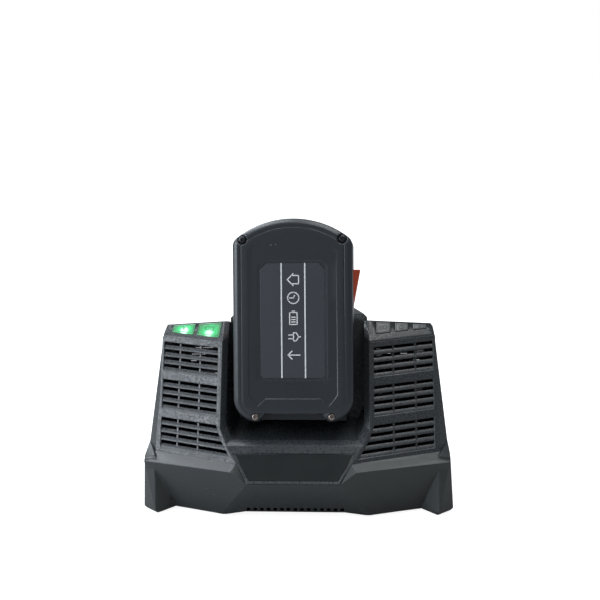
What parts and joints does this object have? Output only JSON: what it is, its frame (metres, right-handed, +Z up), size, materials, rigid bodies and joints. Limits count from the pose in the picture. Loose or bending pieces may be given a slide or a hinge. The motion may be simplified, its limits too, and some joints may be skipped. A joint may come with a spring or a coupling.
{
  "type": "battery charger",
  "caption": "Bench charger with a docked slide-on battery pack, angled slotted wings, indicator windows and a coiled mains lead.",
  "frame": {"origin": "centre of the charger's footprint without its mains lead, at the floor", "axes": "+Z up, -Y towards the front with the bib and the docked pack's face, +X to the right seen from the front"},
  "size_m": [0.203, 0.2285, 0.19],
  "materials": {
    "housing": "satin fine texture",
    "housing_panel": "satin fine texture",
    "bib": "gloss",
    "lens_green": "lit translucent",
    "lens_dark": "unlit translucent",
    "pcb": "solder mask",
    "rubber": "matte",
    "black_screw": "black oxide",
    "steel_screw": "zinc plated",
    "ferrite": "ceramic grey",
    "winding_tape": "tape",
    "aluminium": "brushed",
    "component_black": "sleeve",
    "choke": "enamel",
    "fuse_white": "gloss",
    "nylon_white": "matte",
    "fan_black": "matte",
    "contact_plastic": "glass filled",
    "contact_metal": "nickel plated",
    "wire_red": "silicone",
    "cord": "matte",
    "plug": "satin",
    "pin_metal": "nickel plated",
    "pack_shell": "satin fine texture",
    "label": "satin film with white stripes",
    "cell_wrap": "shrink sleeve",
    "cell_holder": "matte",
    "nickel": "bright",
    "brass_screw": "yellow zinc",
    "button": "satin",
    "spring_steel": "bright"
  },
  "bodies": {
    "charger": {"lower_casing": "housing", "upper_housing": "housing", "left_vent_panel": "housing_panel", "right_vent_panel": "housing_panel", "bib_plate": "bib", "lens_left_inner": "lens_green", "lens_left_outer": "lens_green", "lens_right_inner": "lens_dark", "lens_right_middle": "lens_dark", "lens_right_outer": "lens_dark", "left_indicator_board": "pcb", "right_indicator_board": "pcb", "foot_pad_1": "rubber", "foot_pad_2": "rubber", "foot_pad_3": "rubber", "foot_pad_4": "rubber", "housing_screws": "black_screw", "main_board": "pcb", "board_screws": "steel_screw", "transformer_core": "ferrite", "transformer_winding": "winding_tape", "heat_sink": "aluminium", "bulk_capacitor": "component_black", "output_capacitors": "component_black", "line_choke": "choke", "fuse": "fuse_white", "mains_terminal": "nylon_white", "fan_frame": "fan_black", "fan_screws": "steel_screw", "contact_block": "contact_plastic", "contact_blades": "contact_metal", "output_leads": "wire_red", "mains_lead_inside": "cord", "strain_relief": "cord", "mains_lead": "cord", "mains_lead_coil": "cord", "mains_lead_tail": "cord", "plug_body": "plug", "plug_pins": "pin_metal", "coil_tie": "component_black"},
    "fan": {"fan_rotor": "fan_black"},
    "pack": {"pack_front_shell": "pack_shell", "pack_rear_shell": "pack_shell", "pack_label": "label", "cell_1": "cell_wrap", "cell_2": "cell_wrap", "cell_3": "cell_wrap", "cell_4": "cell_wrap", "cell_5": "cell_wrap", "cell_holder": "cell_holder", "cell_links": "nickel", "pack_board": "pcb", "pack_terminal_block": "contact_plastic", "pack_screws_upper": "black_screw", "pack_screws_lower": "brass_screw", "left_button_spring": "spring_steel", "right_button_spring": "spring_steel"},
    "left_button": {"left_release_button": "button"},
    "right_button": {"right_release_button": "button"}
  },
  "joints": [
    {"name": "pack_slide", "type": "slide", "parent": "charger", "child": "pack", "axis": [0, 0.2164, 0.9763], "range_m": [0, 0.135]},
    {"name": "fan_spin", "type": "hinge", "parent": "charger", "child": "fan", "pos_m": [0.06889, 0.0465, 0.071], "axis": [0, 1, 0], "continuous": true},
    {"name": "right_button_press", "type": "slide", "parent": "pack", "child": "right_button", "axis": [-1, 0, 0], "range_m": [0, 0.0025], "stiffness_N_per_m": 300, "springref_m": -0.002, "deforming": ["right_button_spring"]},
    {"name": "left_button_press", "type": "slide", "parent": "pack", "child": "left_button", "axis": [1, 0, 0], "range_m": [0, 0.0025], "stiffness_N_per_m": 300, "springref_m": -0.002, "deforming": ["left_button_spring"]}
  ]
}
